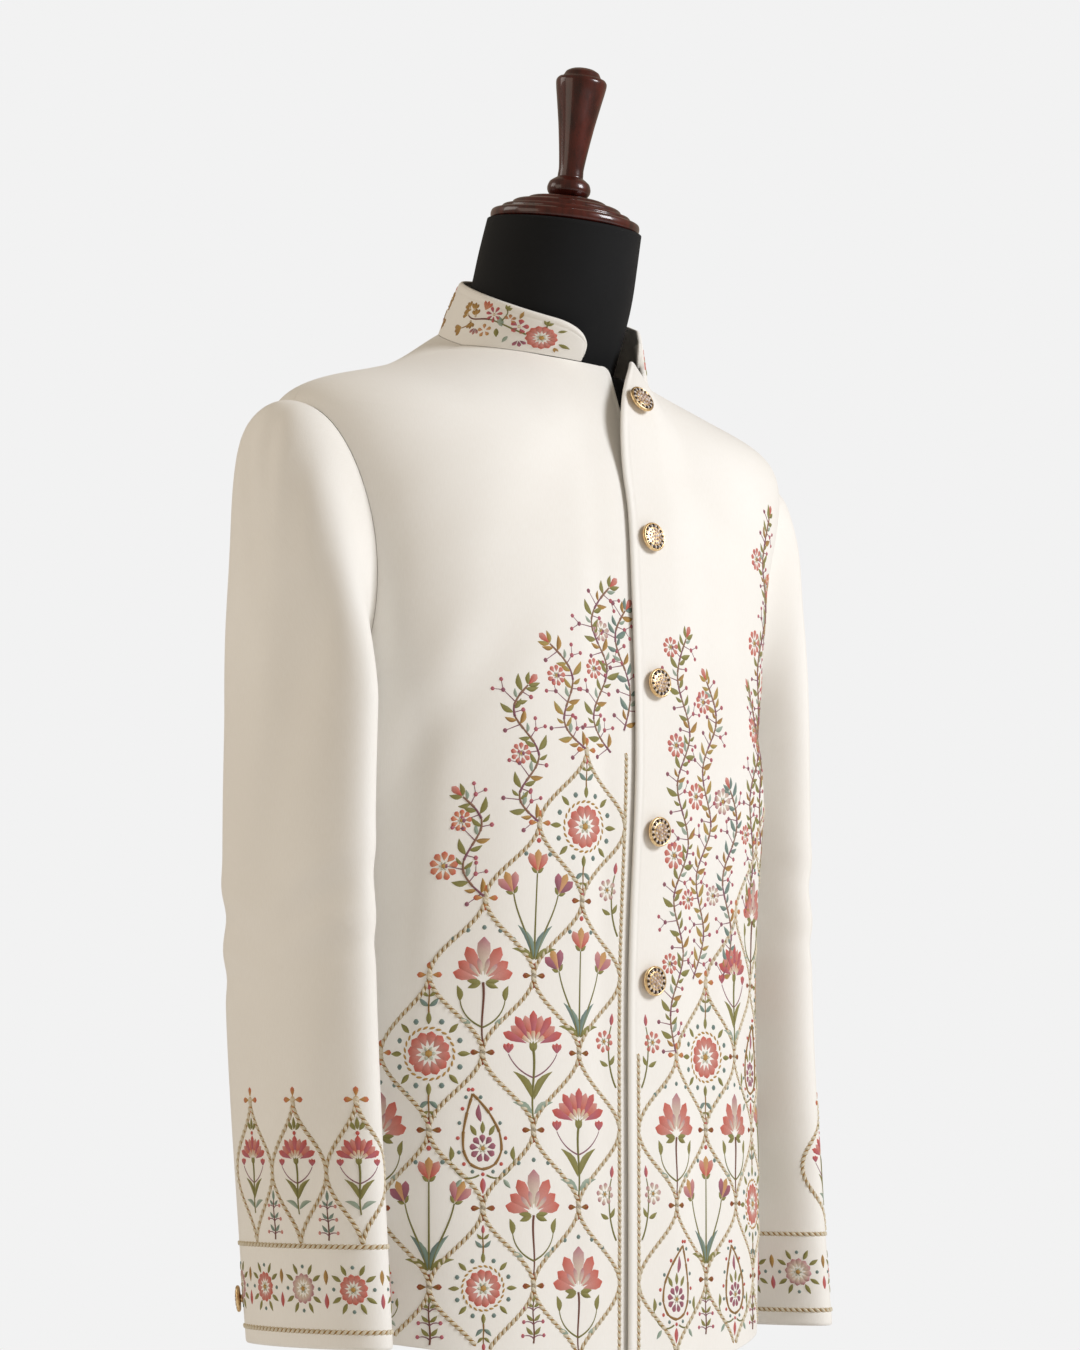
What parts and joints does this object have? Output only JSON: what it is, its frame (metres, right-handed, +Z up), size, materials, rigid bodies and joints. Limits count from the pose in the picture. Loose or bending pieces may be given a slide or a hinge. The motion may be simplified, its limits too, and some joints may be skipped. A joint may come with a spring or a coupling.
{
  "type": "bandhgala suit jacket on a limbless tailor's dress form",
  "caption": "Ivory stand-collar bandhgala jacket with front closure and two-piece sleeves, filled out on a black dress form with a mahogany neck cap, finial and counter stand",
  "frame": {"origin": "Centre of the stand base's footprint, on the surface that it stands on.", "axes": "+X is the wearer's left, -Y is the front of the jacket, +Z is up."},
  "size_m": [0.5082, 0.3, 1.1617],
  "materials": {
    "ivory_suiting": "fine matte suiting with embroidery",
    "black_jersey": "black jersey cover",
    "mahogany": "polished dark mahogany",
    "gilt_button": "gilt rim with a stone-set face"
  },
  "bodies": {
    "root": {"front_left": "ivory_suiting", "front_right": "ivory_suiting", "back_left": "ivory_suiting", "back_right": "ivory_suiting", "sleeve_top_left": "ivory_suiting", "sleeve_under_left": "ivory_suiting", "sleeve_top_right": "ivory_suiting", "sleeve_under_right": "ivory_suiting", "collar": "ivory_suiting", "collar_tab": "ivory_suiting", "button_1": "gilt_button", "button_2": "gilt_button", "button_3": "gilt_button", "button_4": "gilt_button", "button_5": "gilt_button", "cuff_button_left": "gilt_button", "cuff_button_right": "gilt_button", "form_body": "black_jersey", "neck_cap": "mahogany", "finial": "mahogany", "stand_pole": "mahogany", "stand_base": "mahogany"}
  },
  "joints": []
}
